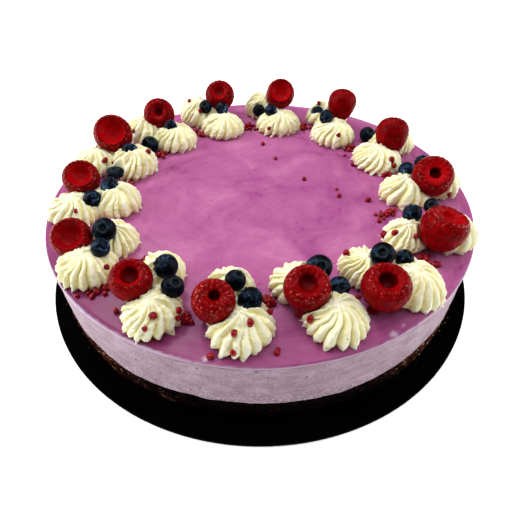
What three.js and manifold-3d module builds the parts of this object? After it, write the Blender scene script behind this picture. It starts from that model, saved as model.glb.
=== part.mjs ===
// A round ube cheesecake on a thin round cake board: biscuit base, pale mousse, purple top,
// and a ring of fourteen servings, each a pair of piped cream dollops with a raspberry and blueberries.
// Millimetres, +Z up. The origin is the middle of the board's underside.

import * as THREE from 'three';
import { mergeVertices } from 'three/addons/utils/BufferGeometryUtils.js';
import Module from 'manifold-3d';

const wasm = await Module();
wasm.setup();

// ---------------------------------------------------------------- driving dimensions

const GAP = 0.3; // between pieces that touch
const STEPS = 56; // flats round the board and the layers

const BOARD_R = 134;
const BOARD_T = 2.4;

const CAKE_R = 128; // at the purple rim
const CAKE_BACK = 6; // the cake stands this far behind the middle of the board
const FOOT_R = 126.6; // at the biscuit base
const WALL_R = 127; // at the mousse
const BASE_H = 13.6;
const MOUSSE_H = 29.1;
const TOP_T = 1.9;

const RIDGES = 10; // lines left on a dollop by the star nozzle
const DOLLOP_H = 12.6;
const TWIST = 0.5; // turn of the ridges from foot to peak, radians

const RASPBERRY_TALL = 0.84; // height over width
const BLUEBERRY_TALL = 0.9;
const SQUASHED = 0.55; // height over width of the squashed blueberry
const BIT = 2.2; // half length of a crushed dried raspberry bit
const SUNK = 0.2; // a bit's middle lies this share of its length above the top

// The servings, anticlockwise from the one at the front left.
// inner, outer: [reach from the cake's middle, bearing in degrees, radius of the foot], with the height of a
// tall one
// raspberry, blueberries: [reach, bearing, height of the centre over the cake, width]; a raspberry may go on
// with its height over its width, and a blueberry with its lean and its height over its width
// lean: the raspberry's tilt and its bearing in degrees; with a tilt over LYING it lies on its side
// bits: [0 inner or 1 outer, bearing on the dollop, height as a share of the dollop]
const SERVINGS = [
  { inner: [87.5, -99.8, 12.6, 14], outer: [109, -95, 16],
    raspberry: [104, -102, 11.6, 20, 0.95], lean: [18, -60],
    blueberries: [[91, -97.5, 13.6, 10], [100, -93, 11.3, 11.6]],
    bits: [[1, -45, 0.93], [1, -106, 0.85], [1, -101, 0.4], [1, 22, 0.55]] },
  { inner: [85.5, -78.3, 14], outer: [109.5, -72.6, 16], raspberry: [97, -78, 11.4, 22], lean: [16, -90],
    blueberries: [[83.5, -70.5, 9.8, 12.6], [96.6, -68, 7.8, 10, 46, -80]],
    bits: [[1, -161, 0.65], [1, 40, 0.5]] },
  { inner: [89.5, -55.4, 13.5], outer: [111, -49.5, 16.5],
    raspberry: [110, -59.6, 11.4, 23], lean: [12, -110],
    blueberries: [[95.5, -52.5, 15, 11.8, 40, -120], [102, -47, 11, 9.2]],
    bits: [[0, 150, 0.75], [0, -92, 0.7], [1, 40, 0.6]] },
  { inner: [92.4, -32.2, 13], outer: [112, -24, 16.5], raspberry: [109, -31, 12.6, 24.5], lean: [14, 20],
    blueberries: [[92, -25.5, 11, 10.8], [100.5, -21, 13.5, 8.4]],
    bits: [[0, -152, 0.78], [0, -174, 0.45], [0, -72, 0.82]] },
  { inner: [89, -5, 15.5], outer: [110.5, 1.5, 16], raspberry: [103.5, -3.5, 12.3, 24.5], lean: [38, -100],
    blueberries: [[96, 8, 5.3, 10.6], [111, 12.5, 4.55, 9.6]],
    bits: [[1, -75, 0.3]] },
  { inner: [86, 21.5, 17], outer: [108.5, 29, 15.7], raspberry: [100, 25, 14.2, 22, 1.08], lean: [14, 80],
    blueberries: [[100, 37.5, 5.5, 11]],
    bits: [[0, -58, 0.72], [0, -58, 0.47], [1, 140, 0.7], [1, 190, 0.8]] },
  { inner: [86, 50, 16.5], outer: [109, 60, 16, 14.5], raspberry: [104, 53, 18, 21, 1.05], lean: [12, 40],
    blueberries: [[103, 63, 8, 9.8], [87, 54.7, 14.5, 10.2]],
    bits: [[0, -82, 0.72], [1, 150, 0.9]] },
  { inner: [86, 79, 17], outer: [110, 87, 15, 16], raspberry: [106, 80, 17, 22, 1], lean: [50, -90],
    blueberries: [[97, 89, 8, 9.8], [87, 83, 13, 9.2]],
    bits: [[0, -120, 0.5]] },
  { inner: [84.4, 108, 17], outer: [110, 114, 16.5, 15.5], raspberry: [110, 105, 15.4, 23], lean: [38, -90],
    blueberries: [[99.5, 113, 14, 9.9], [93, 106.5, 13.5, 9.8]],
    bits: [[1, 170, 0.9], [1, -80, 0.75]] },
  { inner: [86, 134, 17], outer: [110, 139, 16, 14.5],
    raspberry: [107, 132.3, 13.5, 23, 1], lean: [50, -80],
    blueberries: [[89.4, 134, 12, 9.4], [90.5, 146.6, 5.8, 11.6]],
    bits: [[1, -120, 0.7]] },
  { inner: [87, 161.5, 16.5, 14.5], outer: [112, 164, 16, 13.5],
    raspberry: [108, 155, 15, 26, 0.95], lean: [46, -75],
    blueberries: [[90, 160, 12, 10], [93, 171.5, 5.8, 11.6, 4, 0, SQUASHED]],
    bits: [[1, -45, 0.75], [1, -26, 0.5], [0, 10, 0.8]] },
  { inner: [87, 189, 16, 14], outer: [110.3, 191.6, 16.3],
    raspberry: [106.5, 182, 12, 22.3], lean: [34, -70],
    blueberries: [[89, 187, 12, 11.2], [98.5, 192, 10, 10.4]],
    bits: [[1, -60, 0.78]] },
  { inner: [92.4, 212.2, 13.5], outer: [112, 218.4, 16.3],
    raspberry: [112, 210, 10.2, 21.5, 0.78], lean: [34, -80],
    blueberries: [[96.6, 214, 14.5, 12.4], [103.5, 219.7, 13, 10]],
    bits: [[1, -24, 0.62]] },
  { inner: [89, 236.5, 12.5], outer: [111.6, 243.3, 15.3], raspberry: [107, 236, 12, 20.5], lean: [18, -75],
    blueberries: [[90.6, 240, 11.6, 12.2], [100, 246, 11, 11]],
    bits: [[1, -69, 0.85], [1, -91, 0.6], [1, -11, 0.55], [1, -24, 0.45]] },
];

// Crushed raspberry on the purple top: [reach, bearing, number of bits, spread]
const SCATTERED = [
  [60, 87, 1, 0], [40, 72, 1, 0], [32, 21, 1, 0], [50, 3, 1, 0], [51, -7, 1, 0], [68, -11, 1, 0],
  [70, 24, 1, 0], [73, 34, 1, 0], [117, -125, 1, 0], [108, -110, 3, 3], [122, -101, 1, 0], [120, -87, 1, 0],
  [115, -36, 2, 2], [80, -18, 5, 6], [84, 9, 3, 4], [84, 94, 4, 5], [80, 147, 3, 5], [112, -133, 4, 6],
  [91, -88, 3, 5], [92, 68, 3, 5], [98, -62, 2, 2], [88, 37, 3, 4], [84, 175, 2, 4], [86, 120, 3, 5],
];

// ---------------------------------------------------------------- heights that follow

const BASE_Z = BOARD_T + GAP;
const MOUSSE_Z = BASE_Z + BASE_H + GAP;
const SKIN_Z = MOUSSE_Z + MOUSSE_H + GAP;
const CAKE_TOP = SKIN_Z + TOP_T;

// ---------------------------------------------------------------- small tools

// Park and Miller's generator, so that the model is the same each time.
let seed = 14;
function random(low = 0, high = 1) {
  seed = (seed * 16807) % 2147483647;
  return low + (high - low) * seed / 2147483647;
}

const radians = THREE.MathUtils.degToRad;

function place(reach, bearing, z) {
  const turn = radians(bearing);
  return new THREE.Vector3(reach * Math.cos(turn), reach * Math.sin(turn) + CAKE_BACK, z);
}

// A closed skin over rings of points, each anticlockwise seen from above, between two end points.
function ringSkin(first, rings, last) {
  const count = rings[0].length;
  const points = [first, ...rings.flat(), last];
  const end = points.length - 1;
  const faces = [];
  for (let j = 0; j < count; j++) {
    const next = (j + 1) % count;
    faces.push(0, 1 + next, 1 + j);
    for (let i = 0; i < rings.length - 1; i++) {
      const low = 1 + i * count;
      const high = low + count;
      faces.push(low + j, low + next, high + next, low + j, high + next, high + j);
    }
    const rim = 1 + (rings.length - 1) * count;
    faces.push(rim + j, rim + next, end);
  }
  const geometry = new THREE.BufferGeometry().setFromPoints(points);
  geometry.setIndex(faces);
  return geometry;
}

// Rings from rows of [radius, height], each point's radius changed by shape(row, step, angle).
function ringRows(rows, count, shape = () => 1, twist = () => 0) {
  return rows.map(([radius, z], row) => Array.from({ length: count }, (_, step) => {
    const angle = (step / count) * 2 * Math.PI;
    const reach = radius * shape(row, step, angle);
    return new THREE.Vector3(reach * Math.cos(angle + twist(row)), reach * Math.sin(angle + twist(row)), z);
  }));
}

function solid(geometry) {
  const bare = geometry.clone();
  bare.deleteAttribute('normal');
  bare.deleteAttribute('uv');
  const merged = mergeVertices(bare, 1e-4);
  return new wasm.Manifold(new wasm.Mesh({
    numProp: 3,
    vertProperties: new Float32Array(merged.attributes.position.array),
    triVerts: new Uint32Array(merged.index.array),
  }));
}

function surface(body) {
  const mesh = body.getMesh();
  const geometry = new THREE.BufferGeometry();
  geometry.setAttribute('position', new THREE.BufferAttribute(mesh.vertProperties, 3));
  geometry.setIndex(new THREE.BufferAttribute(mesh.triVerts, 1));
  return geometry;
}

function largest(body) {
  return body.decompose().sort((a, b) => b.volume() - a.volume())[0];
}

const looks = {
  board: { color: 0x0b0b0c, roughness: 0.35 },
  biscuit: { color: 0x4a231c, roughness: 0.95 },
  mousse: { color: 0xcbbcc6, roughness: 0.6 },
  ube: { color: 0xb5609b, roughness: 0.35 },
  cream: { color: 0xf2edd2, roughness: 0.45 },
  raspberry: { color: 0xa30812, roughness: 0.25 },
  blueberry: { color: 0x1a2436, roughness: 0.4 },
};

const cake = new THREE.Group();

function add(name, geometry, look) {
  const material = new THREE.MeshStandardMaterial({ ...looks[look], flatShading: true });
  const mesh = new THREE.Mesh(geometry, material);
  mesh.name = name;
  mesh.geometry.computeVertexNormals();
  cake.add(mesh);
}

// ---------------------------------------------------------------- board and layers

function boardGeometry() {
  const section = [[0, 0], [BOARD_R, 0], [BOARD_R, BOARD_T], [0, BOARD_T]];
  const disc = new THREE.LatheGeometry(section.map(([x, y]) => new THREE.Vector2(x, y)), STEPS);
  return disc.rotateX(Math.PI / 2);
}

// A smooth unevenness round the cake, from -1 to 1.
function wave(angle, phase) {
  return 0.5 * Math.sin(3 * angle + phase) + 0.3 * Math.sin(8 * angle + 2 * phase)
    + 0.2 * Math.sin(17 * angle + 3 * phase);
}

function layerGeometry(rows, count, shape) {
  const low = new THREE.Vector3(0, 0, rows[0][1]);
  const high = new THREE.Vector3(0, 0, rows[rows.length - 1][1]);
  return ringSkin(low, ringRows(rows, count, shape), high).translate(0, CAKE_BACK, 0);
}

// Pressed crumb, so its wall is crumbly.
function biscuitGeometry() {
  const rows = [[FOOT_R, 0], [FOOT_R + 0.2, BASE_H / 2], [FOOT_R - 0.3, BASE_H]];
  const raised = rows.map(([r, z]) => [r, z + BASE_Z]);
  return layerGeometry(raised, STEPS, () => 1 + random(-0.6, 0.6) / FOOT_R);
}

// Set in a ring and smoothed with a palette knife, so its wall is nearly even and its foot wavy.
function mousseGeometry() {
  const rows = [[WALL_R, 0], [WALL_R + 0.2, MOUSSE_H]].map(([r, z]) => [r, z + MOUSSE_Z]);
  const sway = [0.7, 0.2];
  return layerGeometry(rows, STEPS, (row, step, angle) => 1 + sway[row] * wave(angle, row) / WALL_R);
}

// Purple topping, spread to the edge.
function topGeometry() {
  const rows = [[CAKE_R - 0.8, SKIN_Z], [CAKE_R - 0.3, SKIN_Z + 0.8], [CAKE_R - 0.7, CAKE_TOP]];
  const sway = [0.2, 0.3, 0.4];
  return layerGeometry(rows, STEPS, (row, step, angle) => 1 + sway[row] * wave(angle, 1) / CAKE_R);
}

// ---------------------------------------------------------------- piped cream

// The dollop's outline: share of the foot's radius, share of the height, depth of the ridges.
const DOLLOP = [[0.92, 0, 0.1], [1, 0.24, 0.11], [0.66, 0.74, 0.14]];
const PEAK = 0.08; // the blunt peak's radius as a share of the foot's

function dollopGeometry([reach, bearing, foot], tall) {
  const ridge = Array.from({ length: 2 * RIDGES }, () => random(0.95, 1.05));
  const rows = DOLLOP.map(([wide, high]) => [foot * wide, high * tall]);
  const start = random(0, Math.PI);
  const shape = (row, step) => ridge[step] * (1 + (step % 2 ? -1 : 1) * DOLLOP[row][2]);
  const rings = ringRows(rows, 2 * RIDGES, shape, (row) => start + TWIST * DOLLOP[row][1]);
  const peak = new THREE.Vector3(random(-PEAK, PEAK) * foot, random(-PEAK, PEAK) * foot, tall);
  const middle = place(reach, bearing, CAKE_TOP + GAP);
  return ringSkin(new THREE.Vector3(), rings, peak).translate(middle.x, middle.y, middle.z);
}

// Radius of the dollop's skin at a share of its height.
function dollopRadius(foot, share) {
  const outline = [...DOLLOP.map(([wide, high]) => [wide, high]), [PEAK, 1]];
  const above = outline.findIndex(([, high]) => high >= share);
  if (above < 1) return foot * outline[0][0];
  const [wide0, high0] = outline[above - 1];
  const [wide1, high1] = outline[above];
  return foot * (wide0 + (wide1 - wide0) * (share - high0) / (high1 - high0));
}

// ---------------------------------------------------------------- fruit

// Rows of [radius, height] in half widths and heights, from the closed end, over the rim, into the hollow.
const RASPBERRY = [[0.5, -0.42], [0.88, -0.16], [1, 0.14], [0.86, 0.4], [0.62, 0.5], [0.4, 0.1]];
const HOLLOW = 0.02;

function lean(geometry, tilt, bearing) {
  const axis = new THREE.Vector3(-Math.sin(radians(bearing)), Math.cos(radians(bearing)), 0);
  return geometry.applyMatrix4(new THREE.Matrix4().makeRotationAxis(axis, radians(tilt)));
}

function raspberryGeometry([reach, bearing, height, width, tallness = RASPBERRY_TALL], [tilt, toward]) {
  const tall = width * tallness;
  const rows = RASPBERRY.map(([r, z]) => [r * width / 2, z * tall]);
  const drupe = (row, step) => 1 + ((row + step) % 2 ? -0.05 : 0.05);
  const low = new THREE.Vector3(0, 0, -tall / 2);
  const high = new THREE.Vector3(0, 0, HOLLOW * tall);
  const middle = place(reach, bearing, CAKE_TOP + height);
  return lean(ringSkin(low, ringRows(rows, 12, drupe), high), tilt, toward).translate(...middle);
}

// Rows from the stalk end to the ring of the crown, which stands round a dimple.
const BLUEBERRY = [[0.72, -0.36], [1, -0.02], [0.8, 0.32], [0.36, 0.5]];
const DIMPLE = 0.36;

function blueberryGeometry([reach, bearing, height, width, ...leaning], index) {
  const [tilt = 25 + 70 * ((index * 0.618) % 1), toward = 137.5 * index, tallness = BLUEBERRY_TALL] = leaning;
  const tall = width * tallness;
  const rows = BLUEBERRY.map(([r, z]) => [r * width / 2, z * tall]);
  const low = new THREE.Vector3(0, 0, -tall / 2);
  const high = new THREE.Vector3(0, 0, DIMPLE * tall);
  const middle = place(reach, bearing, CAKE_TOP + height);
  return lean(ringSkin(low, ringRows(rows, 8), high), tilt, toward).translate(...middle);
}

// The bed that a berry presses into the cream, open upwards. It leans with the berry, but that of a raspberry
// on its side is upright and flatter.
// Rows of [radius, height] in widths and depths of the bed.
const BED = [[0.66, -0.8], [1, -0.25], [1, 3.2]];
const FLAT_BED = [[0.94, -1], [1.03, -0.6], [1.03, 3.2]];
const BED_SIDES = 8;
const BED_EASE = 1.05; // clears the drupelets
const LYING = 30; // degrees

// How far a raspberry on its side reaches down from its middle, over its width.
function lowest(tilt, tallness) {
  const down = ([r, z]) => (r / 2) * Math.sin(radians(tilt)) - z * tallness * Math.cos(radians(tilt));
  return Math.max(...RASPBERRY.map(down));
}

function bedGeometry([reach, bearing, height, width], tallness, tilt = 0, toward = 0) {
  const lying = tilt > LYING;
  const wide = (width / 2 * BED_EASE + GAP) / Math.cos(Math.PI / BED_SIDES);
  const deep = width * (lying ? lowest(tilt, tallness) : tallness / 2) + 2 * GAP;
  const rows = (lying ? FLAT_BED : BED).map(([r, z]) => [r * wide, z * deep]);
  const low = new THREE.Vector3(0, 0, -deep);
  const high = new THREE.Vector3(0, 0, rows[rows.length - 1][1]);
  const middle = place(reach, bearing, CAKE_TOP + height);
  return lean(ringSkin(low, ringRows(rows, BED_SIDES), high), lying ? 0 : tilt, toward).translate(...middle);
}

// ---------------------------------------------------------------- crushed raspberry bits

function bitGeometry(middle, size) {
  const bit = new THREE.OctahedronGeometry(size, 0);
  bit.scale(1, random(0.6, 0.85), random(0.55, 0.75));
  bit.rotateX(random(-0.4, 0.4)).rotateZ(random(0, 2 * Math.PI));
  return bit.translate(...middle);
}

// ---------------------------------------------------------------- assembly

add('cake_board', boardGeometry(), 'board');
add('biscuit_base', biscuitGeometry(), 'biscuit');
add('mousse_layer', mousseGeometry(), 'mousse');

const label = (kind, index) => `${kind}_${String(index + 1).padStart(2, '0')}`;

const beds = [];
const onTop = [];
let berries = 0;
SERVINGS.forEach((serving, index) => {
  const raspberry = raspberryGeometry(serving.raspberry, serving.lean);
  add(label('raspberry', index), raspberry, 'raspberry');
  onTop.push(solid(raspberry));
  const [, , , , tallness = RASPBERRY_TALL] = serving.raspberry;
  beds.push(solid(bedGeometry(serving.raspberry, tallness, ...serving.lean)));
  for (const berry of serving.blueberries) {
    const blueberry = blueberryGeometry(berry, berries);
    add(label('blueberry', berries), blueberry, 'blueberry');
    onTop.push(solid(blueberry));
    const [, , , , , , depth = 1] = berry;
    beds.push(solid(bedGeometry(berry, depth)));
    berries += 1;
  }
});

// The cream is piped first, sprinkled, and then gives way where the fruit is pressed in.
SERVINGS.forEach((serving, index) => {
  const dollops = [serving.inner, serving.outer];
  const heights = dollops.map(([, , , tall = DOLLOP_H]) => tall * random(0.95, 1.05));
  const [inner, outer] = dollops.map((dollop, which) => solid(dollopGeometry(dollop, heights[which])));
  let cream = inner.add(outer);
  for (const [which, bearing, share] of serving.bits) {
    const [reach, direction, foot] = dollops[which];
    const out = dollopRadius(foot, share);
    const middle = place(reach, direction, CAKE_TOP + GAP + share * heights[which]);
    middle.x += out * Math.cos(radians(bearing));
    middle.y += out * Math.sin(radians(bearing));
    cream = cream.add(solid(bitGeometry(middle, BIT * random(0.8, 1.2))));
  }
  for (const bed of beds) cream = cream.subtract(bed);
  cream = largest(cream);
  onTop.push(cream);
  add(label('cream_pair', index), surface(cream), 'cream');
});

// Crushed bits lie where the top is bare.
let top = solid(topGeometry());
for (const [reach, bearing, count, spread] of SCATTERED) {
  for (let i = 0; i < count; i++) {
    const size = BIT * random(0.7, count > 1 ? 1.6 : 1.2);
    const middle = place(reach, bearing, CAKE_TOP + size * SUNK);
    middle.x += random(-spread, spread);
    middle.y += random(-spread, spread);
    const room = solid(new THREE.OctahedronGeometry(size + 2 * GAP, 1).translate(...middle));
    const bit = solid(bitGeometry(middle, size));
    if (onTop.every((body) => body.intersect(room).isEmpty())) top = top.add(bit);
  }
}
add('ube_top', surface(largest(top)), 'ube');

export default cake;
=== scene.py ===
"""A round ube cheesecake on its cake board, from the board upwards.

Sizes are in millimetres, turned to metres by MM.
"""

import math

import bpy
import numpy as np
from mathutils import Matrix, Vector, noise


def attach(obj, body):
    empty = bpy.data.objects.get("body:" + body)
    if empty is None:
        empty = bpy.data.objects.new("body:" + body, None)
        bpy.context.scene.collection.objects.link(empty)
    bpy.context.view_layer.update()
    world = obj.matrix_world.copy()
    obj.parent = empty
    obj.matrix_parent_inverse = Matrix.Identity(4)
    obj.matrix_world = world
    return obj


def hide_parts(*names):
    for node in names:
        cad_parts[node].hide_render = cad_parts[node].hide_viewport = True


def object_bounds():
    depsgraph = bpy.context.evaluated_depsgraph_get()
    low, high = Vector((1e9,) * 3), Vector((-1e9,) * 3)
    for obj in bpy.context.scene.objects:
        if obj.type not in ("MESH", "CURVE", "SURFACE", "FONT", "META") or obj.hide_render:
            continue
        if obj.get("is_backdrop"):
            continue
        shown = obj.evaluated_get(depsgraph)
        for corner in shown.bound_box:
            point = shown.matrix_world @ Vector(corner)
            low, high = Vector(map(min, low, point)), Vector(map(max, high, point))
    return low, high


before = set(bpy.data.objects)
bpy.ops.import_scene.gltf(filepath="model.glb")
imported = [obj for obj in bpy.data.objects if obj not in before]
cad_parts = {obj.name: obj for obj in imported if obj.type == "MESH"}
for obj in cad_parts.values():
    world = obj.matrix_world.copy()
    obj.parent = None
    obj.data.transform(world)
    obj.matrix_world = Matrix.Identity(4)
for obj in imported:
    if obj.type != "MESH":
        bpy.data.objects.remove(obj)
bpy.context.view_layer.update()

# ---------------------------------------------------------------- cake board
# A thin round board of pressed card, laminated in flat black film on both faces and die-cut, so its edge
# is crisp and its face shows hardly any light. The cake stands a little behind its middle.

MM = 0.001
BOARD_R, BOARD_T = 134.0, 2.4
CAKE_BACK = 6.0  # how far behind the board's middle the cake stands


def linear(code):
    """Linear colour of an sRGB hex colour."""
    parts = [int(code[first:first + 2], 16) / 255 for first in (1, 3, 5)]
    return [c / 12.92 if c <= 0.04045 else ((c + 0.055) / 1.055) ** 2.4 for c in parts] + [1.0]


def add_node(tree, kind, inputs=(), stops=(), **settings):
    """Adds a node with its settings. Inputs are values or sockets to link, stops a ramp's [place, colour]."""
    made = tree.nodes.new(kind)
    for name, value in settings.items():
        setattr(made, name, value)
    for socket, value in dict(inputs).items():
        if isinstance(value, bpy.types.NodeSocket):
            tree.links.new(value, made.inputs[socket])
        else:
            made.inputs[socket].default_value = value
    while len(made.color_ramp.elements if stops else ()) < len(stops):
        made.color_ramp.elements.new(0.5)
    for element, (place, colour) in zip(made.color_ramp.elements if stops else (), stops):
        element.position = place
        element.color = linear(colour)
    return made


def start_material(name):
    """An empty material, its tree, and the point in metres that its patterns are drawn at."""
    material = bpy.data.materials.new(name)
    material.use_nodes = True
    material.node_tree.nodes.clear()
    return material, material.node_tree, add_node(material.node_tree, "ShaderNodeTexCoord").outputs["Object"]


def end_material(tree, **inputs):
    """The shader that ends a material's tree; underscores in its inputs' names stand for spaces."""
    named = {name.replace("_", " "): value for name, value in inputs.items()}
    shader = add_node(tree, "ShaderNodeBsdfPrincipled", named)
    add_node(tree, "ShaderNodeOutputMaterial", {"Surface": shader.outputs["BSDF"]})


def ring_mesh(name, rings, low, high):
    """A closed mesh over rings of points, lowest first, anticlockwise from above, and two end points."""
    rings = np.asarray(rings, float)
    rows, steps = rings.shape[:2]
    points = np.vstack([rings.reshape(-1, 3), low, high]) * MM
    here = np.arange(steps)
    after = (here + 1) % steps
    faces = []
    for row in range(rows - 1):
        lower, upper = row * steps, (row + 1) * steps
        faces += np.stack([lower + here, lower + after, upper + after, upper + here], 1).tolist()
    faces += [[rows * steps, b, a] for a, b in zip(here.tolist(), after.tolist())]
    rim = (rows - 1) * steps
    faces += [[rim + a, rim + b, rows * steps + 1] for a, b in zip(here.tolist(), after.tolist())]
    mesh = bpy.data.meshes.new(name)
    mesh.from_pydata(points.tolist(), [], faces)
    mesh.polygons.foreach_set("use_smooth", [True] * len(faces))
    return mesh


def add_piece(mesh, material, slot, *nodes):
    """Puts a mesh in the scene as a piece of the cake, in place of the named CAD nodes."""
    if material:
        mesh.materials.clear()
        mesh.materials.append(material)
    piece = bpy.data.objects.new(mesh.name, mesh)
    bpy.context.scene.collection.objects.link(piece)
    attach(piece, "root")
    if nodes:
        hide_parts(*nodes)


def turned(outline, angles, middle=(0.0, 0.0)):
    """Rings of points from rows of [radius, height], round a vertical axis."""
    rows = np.asarray(outline, float)
    x = rows[:, :1] * np.cos(angles) + middle[0]
    y = rows[:, :1] * np.sin(angles) + middle[1]
    return np.stack([x, y, np.repeat(rows[:, 1:2], len(angles), 1)], 2)


def around(steps):
    """Angles of a ring's points."""
    return np.arange(steps) * 2 * math.pi / steps


# Black laminated card: dead flat black with the faint grain of the paper under the film.
laminate, tree, place = start_material("black_laminated_card")
fibre = add_node(tree, "ShaderNodeTexNoise", {"Vector": place, "Scale": 1 / (0.8 * MM), "Detail": 3.0})
cloud = add_node(tree, "ShaderNodeTexNoise", {"Vector": place, "Scale": 1 / (30 * MM), "Detail": 2.0})
black = add_node(tree, "ShaderNodeValToRGB", {"Fac": cloud.outputs["Fac"]},
                 [[0.3, "#010101"], [0.75, "#030303"]])
grain = add_node(tree, "ShaderNodeBump", {"Height": fibre.outputs["Fac"], "Strength": 0.12,
                                          "Distance": 0.05 * MM})
end_material(tree, Base_Color=black.outputs["Color"], Normal=grain.outputs["Normal"], Roughness=0.5,
             Specular_IOR_Level=0.004)

EDGE = 0.25  # rounding of the die-cut edge
# Rows of [radius, height], out along the underside and in over the face, which the inner rings keep flat.
section = [[40, 0], [100, 0], [BOARD_R - EDGE, 0], [BOARD_R, EDGE], [BOARD_R, BOARD_T - EDGE],
           [BOARD_R - EDGE, BOARD_T], [BOARD_R - 1.2, BOARD_T], [100, BOARD_T], [40, BOARD_T]]
board = ring_mesh("round_cake_board", turned(section, around(224)), [0, 0, 0], [0, 0, BOARD_T])
add_piece(board, laminate, "board", "cake_board")

# ---------------------------------------------------------------- biscuit base
# Dark chocolate biscuits crushed with butter and pressed flat in the ring, so the wall is a coarse crumb
# with pits and loose grains. Its colour is painted darkest at the front, as painted shade.

FOOT_R = 126.4  # radius of the biscuit wall
BASE_Z, BASE_TOP = BOARD_T, 16.2
CRUMB = 1.9  # usual width of a crumb in the wall
STANDS_OUT = 0.62  # how far it stands out of the wall
EASED = 2.4  # height below the top in which the wall draws in by 1.1
CLINGING, FALLEN = 520, 170  # loose crumbs on the wall, and at its foot


def rough(point, width):
    """Smooth noise from -1 to 1 whose lumps are about width across."""
    return noise.noise(Vector(point) / width)


def crumbly(point):
    """How far a crumb stands out of the wall, from -1 to 1: rounded grains with cracks between them."""
    near, second = noise.voronoi(Vector(point) / CRUMB)[0][:2]
    return min(1.0, 3.2 * (second - near)) - 0.75 + 0.5 * rough(point, 0.7) + 0.6 * rough(point, 5.0)


def pressed_wall():
    """The base's rings: a crumbly wall, eased in at the top where the mousse comes down over it."""
    angles = around(760)
    heights = np.linspace(BASE_Z, BASE_TOP, 15)
    rings = []
    for height in heights:
        ease = 1.1 * max(0.0, (height - BASE_TOP + EASED) / EASED) ** 2
        ring = []
        for angle in angles:
            point = (FOOT_R * math.cos(angle), FOOT_R * math.sin(angle), height)
            reach = FOOT_R - 0.35 - ease + STANDS_OUT * crumbly(point)
            ring.append([reach * math.cos(angle), reach * math.sin(angle) + CAKE_BACK, height])
        rings.append(ring)
    hidden = turned([[118, BASE_TOP + 0.4]], angles, (0, CAKE_BACK))
    return np.concatenate([np.array(rings), hidden])


# Buttery chocolate biscuit: matt dark crumbs of uneven colour. At the front it is painted almost black with a
# maroon cast, as painted shade; towards both sides it is lighter, with brown, tan and nearly white crumbs.
biscuit, tree, place = start_material("pressed_chocolate_biscuit")
crumbs = add_node(tree, "ShaderNodeTexVoronoi", {"Vector": place, "Scale": 1 / (CRUMB * MM),
                                                 "Randomness": 1.0})
tone = add_node(tree, "ShaderNodeSeparateColor", {"Color": crumbs.outputs["Color"]})
shaded_crumb_tones = add_node(tree, "ShaderNodeValToRGB", {"Fac": tone.outputs["Red"]},
                 [[0.0, "#040001"], [0.5, "#080203"], [0.9, "#150506"], [0.98, "#2c100d"]])
dry = add_node(tree, "ShaderNodeValToRGB", {"Fac": tone.outputs["Red"]},
               [[0.0, "#2c0e08"], [0.45, "#5c2717"], [0.75, "#8f4b2a"], [0.92, "#b87c50"],
                [0.985, "#eadcc6"]])
across = add_node(tree, "ShaderNodeVectorMath", {0: place, 1: (1.0, 0.0, 0.0)}, operation="MULTIPLY")
aside = add_node(tree, "ShaderNodeVectorMath", {0: across.outputs[0]}, operation="LENGTH")
patchy = add_node(tree, "ShaderNodeTexNoise", {"Vector": place, "Scale": 1 / (14 * MM), "Detail": 3.0})
shifted = add_node(tree, "ShaderNodeMath", {0: patchy.outputs["Fac"], 1: 0.12, 2: aside.outputs["Value"]},
                   operation="MULTIPLY_ADD")
# Painted shade: the crumbs stay dark near the front and middle, and turn lighter only further out to either
# side.
out_of_front_shade = add_node(tree, "ShaderNodeMapRange", {"Value": shifted.outputs[0], "From Min": 110 * MM,
                                              "From Max": 175 * MM, "To Min": 0.0, "To Max": 0.58})
brown = add_node(tree, "ShaderNodeMix", {"Factor": out_of_front_shade.outputs[0], 6: shaded_crumb_tones.outputs["Color"],
                                         7: dry.outputs["Color"]}, data_type="RGBA")
dust = add_node(tree, "ShaderNodeTexNoise", {"Vector": place, "Scale": 1 / (0.6 * MM), "Detail": 5.0})
tint = add_node(tree, "ShaderNodeMix", {"Factor": 0.5, 6: brown.outputs[2], 7: dust.outputs["Fac"]},
                data_type="RGBA", blend_type="OVERLAY")
pits = add_node(tree, "ShaderNodeBump", {"Height": dust.outputs["Fac"], "Strength": 0.9,
                                         "Distance": 0.5 * MM})
end_material(tree, Base_Color=tint.outputs[2], Normal=pits.outputs["Normal"], Roughness=0.85,
             Specular_IOR_Level=0.03)

base = ring_mesh("biscuit_wall", pressed_wall(), [0, CAKE_BACK, BASE_Z], [0, CAKE_BACK, BASE_TOP + 0.4])
add_piece(base, biscuit, "biscuit", "biscuit_base")


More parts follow.
